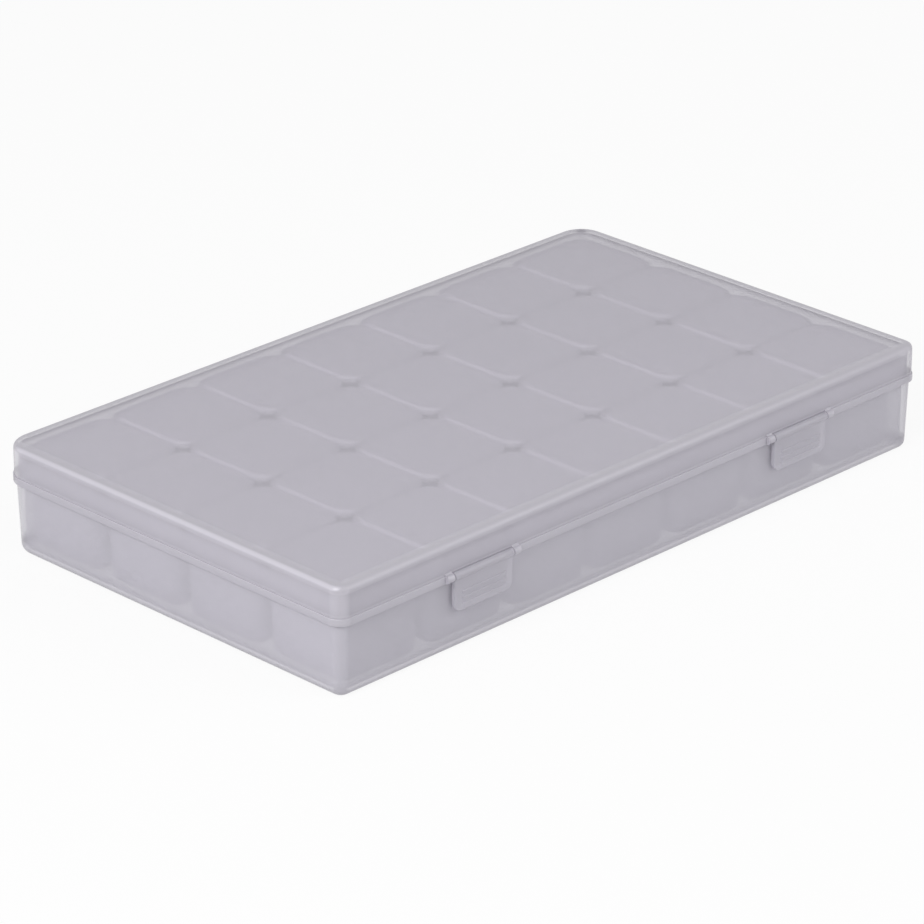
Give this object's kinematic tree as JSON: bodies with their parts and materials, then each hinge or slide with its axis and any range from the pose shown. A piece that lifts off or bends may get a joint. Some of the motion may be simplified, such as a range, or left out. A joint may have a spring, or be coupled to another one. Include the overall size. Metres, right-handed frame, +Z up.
{
  "type": "individual lid bead organizer",
  "caption": "Flat translucent case with a hinged lid and two front latches, holding a grid of small bead boxes with their own flip lids.",
  "frame": {"origin": "centre of the case's flat underside", "axes": "+X along the long side, -Y to the latches, +Y to the hinges, +Z up"},
  "size_m": [0.175, 0.1063, 0.0246],
  "materials": {
    "case_plastic": "frosted translucent",
    "latch_plastic": "frosted translucent",
    "box_plastic": "frosted translucent",
    "flip_lid_plastic": "frosted translucent"
  },
  "bodies": {
    "case": {"outer_base": "case_plastic", "bead_box_a1": "box_plastic", "bead_box_a2": "box_plastic", "bead_box_a3": "box_plastic", "bead_box_a4": "box_plastic", "bead_box_a5": "box_plastic", "bead_box_a6": "box_plastic", "bead_box_a7": "box_plastic", "bead_box_b1": "box_plastic", "bead_box_b2": "box_plastic", "bead_box_b3": "box_plastic", "bead_box_b4": "box_plastic", "bead_box_b5": "box_plastic", "bead_box_b6": "box_plastic", "bead_box_b7": "box_plastic", "bead_box_c1": "box_plastic", "bead_box_c2": "box_plastic", "bead_box_c3": "box_plastic", "bead_box_c4": "box_plastic", "bead_box_c5": "box_plastic", "bead_box_c6": "box_plastic", "bead_box_c7": "box_plastic", "bead_box_d1": "box_plastic", "bead_box_d2": "box_plastic", "bead_box_d3": "box_plastic", "bead_box_d4": "box_plastic", "bead_box_d5": "box_plastic", "bead_box_d6": "box_plastic", "bead_box_d7": "box_plastic"},
    "outer_lid": {"outer_lid": "case_plastic"},
    "latch_left": {"latch_left": "latch_plastic"},
    "latch_right": {"latch_right": "latch_plastic"},
    "bead_lid_a1": {"bead_lid_a1": "flip_lid_plastic"},
    "bead_lid_a2": {"bead_lid_a2": "flip_lid_plastic"},
    "bead_lid_a3": {"bead_lid_a3": "flip_lid_plastic"},
    "bead_lid_a4": {"bead_lid_a4": "flip_lid_plastic"},
    "bead_lid_a5": {"bead_lid_a5": "flip_lid_plastic"},
    "bead_lid_a6": {"bead_lid_a6": "flip_lid_plastic"},
    "bead_lid_a7": {"bead_lid_a7": "flip_lid_plastic"},
    "bead_lid_b1": {"bead_lid_b1": "flip_lid_plastic"},
    "bead_lid_b2": {"bead_lid_b2": "flip_lid_plastic"},
    "bead_lid_b3": {"bead_lid_b3": "flip_lid_plastic"},
    "bead_lid_b4": {"bead_lid_b4": "flip_lid_plastic"},
    "bead_lid_b5": {"bead_lid_b5": "flip_lid_plastic"},
    "bead_lid_b6": {"bead_lid_b6": "flip_lid_plastic"},
    "bead_lid_b7": {"bead_lid_b7": "flip_lid_plastic"},
    "bead_lid_c1": {"bead_lid_c1": "flip_lid_plastic"},
    "bead_lid_c2": {"bead_lid_c2": "flip_lid_plastic"},
    "bead_lid_c3": {"bead_lid_c3": "flip_lid_plastic"},
    "bead_lid_c4": {"bead_lid_c4": "flip_lid_plastic"},
    "bead_lid_c5": {"bead_lid_c5": "flip_lid_plastic"},
    "bead_lid_c6": {"bead_lid_c6": "flip_lid_plastic"},
    "bead_lid_c7": {"bead_lid_c7": "flip_lid_plastic"},
    "bead_lid_d1": {"bead_lid_d1": "flip_lid_plastic"},
    "bead_lid_d2": {"bead_lid_d2": "flip_lid_plastic"},
    "bead_lid_d3": {"bead_lid_d3": "flip_lid_plastic"},
    "bead_lid_d4": {"bead_lid_d4": "flip_lid_plastic"},
    "bead_lid_d5": {"bead_lid_d5": "flip_lid_plastic"},
    "bead_lid_d6": {"bead_lid_d6": "flip_lid_plastic"},
    "bead_lid_d7": {"bead_lid_d7": "flip_lid_plastic"}
  },
  "joints": [
    {"name": "outer_lid_hinge", "type": "hinge", "parent": "case", "child": "outer_lid", "pos_m": [0, 0.0528, 0.0161], "axis": [-1, 0, 0], "range_deg": [0, 180]},
    {"name": "latch_left_hinge", "type": "hinge", "parent": "outer_lid", "child": "latch_left", "pos_m": [-0.048, -0.05085, 0.017], "axis": [-1, 0, 0], "range_deg": [0, 75]},
    {"name": "latch_right_hinge", "type": "hinge", "parent": "outer_lid", "child": "latch_right", "pos_m": [0.048, -0.05085, 0.017], "axis": [-1, 0, 0], "range_deg": [0, 75]},
    {"name": "bead_lid_a1_hinge", "type": "hinge", "parent": "case", "child": "bead_lid_a1", "pos_m": [-0.0726, -0.02535, 0.02265], "axis": [-1, 0, 0], "range_deg": [0, 130]},
    {"name": "bead_lid_a2_hinge", "type": "hinge", "parent": "case", "child": "bead_lid_a2", "pos_m": [-0.0484, -0.02535, 0.02265], "axis": [-1, 0, 0], "range_deg": [0, 130]},
    {"name": "bead_lid_a3_hinge", "type": "hinge", "parent": "case", "child": "bead_lid_a3", "pos_m": [-0.0242, -0.02535, 0.02265], "axis": [-1, 0, 0], "range_deg": [0, 130]},
    {"name": "bead_lid_a4_hinge", "type": "hinge", "parent": "case", "child": "bead_lid_a4", "pos_m": [0, -0.02535, 0.02265], "axis": [-1, 0, 0], "range_deg": [0, 130]},
    {"name": "bead_lid_a5_hinge", "type": "hinge", "parent": "case", "child": "bead_lid_a5", "pos_m": [0.0242, -0.02535, 0.02265], "axis": [-1, 0, 0], "range_deg": [0, 130]},
    {"name": "bead_lid_a6_hinge", "type": "hinge", "parent": "case", "child": "bead_lid_a6", "pos_m": [0.0484, -0.02535, 0.02265], "axis": [-1, 0, 0], "range_deg": [0, 130]},
    {"name": "bead_lid_a7_hinge", "type": "hinge", "parent": "case", "child": "bead_lid_a7", "pos_m": [0.0726, -0.02535, 0.02265], "axis": [-1, 0, 0], "range_deg": [0, 130]},
    {"name": "bead_lid_b1_hinge", "type": "hinge", "parent": "case", "child": "bead_lid_b1", "pos_m": [-0.0726, -0.00115, 0.02265], "axis": [-1, 0, 0], "range_deg": [0, 130]},
    {"name": "bead_lid_b2_hinge", "type": "hinge", "parent": "case", "child": "bead_lid_b2", "pos_m": [-0.0484, -0.00115, 0.02265], "axis": [-1, 0, 0], "range_deg": [0, 130]},
    {"name": "bead_lid_b3_hinge", "type": "hinge", "parent": "case", "child": "bead_lid_b3", "pos_m": [-0.0242, -0.00115, 0.02265], "axis": [-1, 0, 0], "range_deg": [0, 130]},
    {"name": "bead_lid_b4_hinge", "type": "hinge", "parent": "case", "child": "bead_lid_b4", "pos_m": [0, -0.00115, 0.02265], "axis": [-1, 0, 0], "range_deg": [0, 130]},
    {"name": "bead_lid_b5_hinge", "type": "hinge", "parent": "case", "child": "bead_lid_b5", "pos_m": [0.0242, -0.00115, 0.02265], "axis": [-1, 0, 0], "range_deg": [0, 130]},
    {"name": "bead_lid_b6_hinge", "type": "hinge", "parent": "case", "child": "bead_lid_b6", "pos_m": [0.0484, -0.00115, 0.02265], "axis": [-1, 0, 0], "range_deg": [0, 130]},
    {"name": "bead_lid_b7_hinge", "type": "hinge", "parent": "case", "child": "bead_lid_b7", "pos_m": [0.0726, -0.00115, 0.02265], "axis": [-1, 0, 0], "range_deg": [0, 130]},
    {"name": "bead_lid_c1_hinge", "type": "hinge", "parent": "case", "child": "bead_lid_c1", "pos_m": [-0.0726, 0.02305, 0.02265], "axis": [-1, 0, 0], "range_deg": [0, 130]},
    {"name": "bead_lid_c2_hinge", "type": "hinge", "parent": "case", "child": "bead_lid_c2", "pos_m": [-0.0484, 0.02305, 0.02265], "axis": [-1, 0, 0], "range_deg": [0, 130]},
    {"name": "bead_lid_c3_hinge", "type": "hinge", "parent": "case", "child": "bead_lid_c3", "pos_m": [-0.0242, 0.02305, 0.02265], "axis": [-1, 0, 0], "range_deg": [0, 130]},
    {"name": "bead_lid_c4_hinge", "type": "hinge", "parent": "case", "child": "bead_lid_c4", "pos_m": [0, 0.02305, 0.02265], "axis": [-1, 0, 0], "range_deg": [0, 130]},
    {"name": "bead_lid_c5_hinge", "type": "hinge", "parent": "case", "child": "bead_lid_c5", "pos_m": [0.0242, 0.02305, 0.02265], "axis": [-1, 0, 0], "range_deg": [0, 130]},
    {"name": "bead_lid_c6_hinge", "type": "hinge", "parent": "case", "child": "bead_lid_c6", "pos_m": [0.0484, 0.02305, 0.02265], "axis": [-1, 0, 0], "range_deg": [0, 130]},
    {"name": "bead_lid_c7_hinge", "type": "hinge", "parent": "case", "child": "bead_lid_c7", "pos_m": [0.0726, 0.02305, 0.02265], "axis": [-1, 0, 0], "range_deg": [0, 130]},
    {"name": "bead_lid_d1_hinge", "type": "hinge", "parent": "case", "child": "bead_lid_d1", "pos_m": [-0.0726, 0.04725, 0.02265], "axis": [-1, 0, 0], "range_deg": [0, 130]},
    {"name": "bead_lid_d2_hinge", "type": "hinge", "parent": "case", "child": "bead_lid_d2", "pos_m": [-0.0484, 0.04725, 0.02265], "axis": [-1, 0, 0], "range_deg": [0, 130]},
    {"name": "bead_lid_d3_hinge", "type": "hinge", "parent": "case", "child": "bead_lid_d3", "pos_m": [-0.0242, 0.04725, 0.02265], "axis": [-1, 0, 0], "range_deg": [0, 130]},
    {"name": "bead_lid_d4_hinge", "type": "hinge", "parent": "case", "child": "bead_lid_d4", "pos_m": [0, 0.04725, 0.02265], "axis": [-1, 0, 0], "range_deg": [0, 130]},
    {"name": "bead_lid_d5_hinge", "type": "hinge", "parent": "case", "child": "bead_lid_d5", "pos_m": [0.0242, 0.04725, 0.02265], "axis": [-1, 0, 0], "range_deg": [0, 130]},
    {"name": "bead_lid_d6_hinge", "type": "hinge", "parent": "case", "child": "bead_lid_d6", "pos_m": [0.0484, 0.04725, 0.02265], "axis": [-1, 0, 0], "range_deg": [0, 130]},
    {"name": "bead_lid_d7_hinge", "type": "hinge", "parent": "case", "child": "bead_lid_d7", "pos_m": [0.0726, 0.04725, 0.02265], "axis": [-1, 0, 0], "range_deg": [0, 130]}
  ],
  "couplings": [
    {"joint": "bead_lid_a1_hinge", "follows": "outer_lid_hinge", "ratio": 0.722},
    {"joint": "bead_lid_a2_hinge", "follows": "outer_lid_hinge", "ratio": 0.722},
    {"joint": "bead_lid_a3_hinge", "follows": "outer_lid_hinge", "ratio": 0.722},
    {"joint": "bead_lid_a4_hinge", "follows": "outer_lid_hinge", "ratio": 0.722},
    {"joint": "bead_lid_a5_hinge", "follows": "outer_lid_hinge", "ratio": 0.722},
    {"joint": "bead_lid_a6_hinge", "follows": "outer_lid_hinge", "ratio": 0.722},
    {"joint": "bead_lid_a7_hinge", "follows": "outer_lid_hinge", "ratio": 0.722},
    {"joint": "bead_lid_b1_hinge", "follows": "outer_lid_hinge", "ratio": 0.722},
    {"joint": "bead_lid_b2_hinge", "follows": "outer_lid_hinge", "ratio": 0.722},
    {"joint": "bead_lid_b3_hinge", "follows": "outer_lid_hinge", "ratio": 0.722},
    {"joint": "bead_lid_b4_hinge", "follows": "outer_lid_hinge", "ratio": 0.722},
    {"joint": "bead_lid_b5_hinge", "follows": "outer_lid_hinge", "ratio": 0.722},
    {"joint": "bead_lid_b6_hinge", "follows": "outer_lid_hinge", "ratio": 0.722},
    {"joint": "bead_lid_b7_hinge", "follows": "outer_lid_hinge", "ratio": 0.722},
    {"joint": "bead_lid_c1_hinge", "follows": "outer_lid_hinge", "ratio": 0.722},
    {"joint": "bead_lid_c2_hinge", "follows": "outer_lid_hinge", "ratio": 0.722},
    {"joint": "bead_lid_c3_hinge", "follows": "outer_lid_hinge", "ratio": 0.722},
    {"joint": "bead_lid_c4_hinge", "follows": "outer_lid_hinge", "ratio": 0.722},
    {"joint": "bead_lid_c5_hinge", "follows": "outer_lid_hinge", "ratio": 0.722},
    {"joint": "bead_lid_c6_hinge", "follows": "outer_lid_hinge", "ratio": 0.722},
    {"joint": "bead_lid_c7_hinge", "follows": "outer_lid_hinge", "ratio": 0.722},
    {"joint": "bead_lid_d1_hinge", "follows": "outer_lid_hinge", "ratio": 0.722},
    {"joint": "bead_lid_d2_hinge", "follows": "outer_lid_hinge", "ratio": 0.722},
    {"joint": "bead_lid_d3_hinge", "follows": "outer_lid_hinge", "ratio": 0.722},
    {"joint": "bead_lid_d4_hinge", "follows": "outer_lid_hinge", "ratio": 0.722},
    {"joint": "bead_lid_d5_hinge", "follows": "outer_lid_hinge", "ratio": 0.722},
    {"joint": "bead_lid_d6_hinge", "follows": "outer_lid_hinge", "ratio": 0.722},
    {"joint": "bead_lid_d7_hinge", "follows": "outer_lid_hinge", "ratio": 0.722}
  ]
}
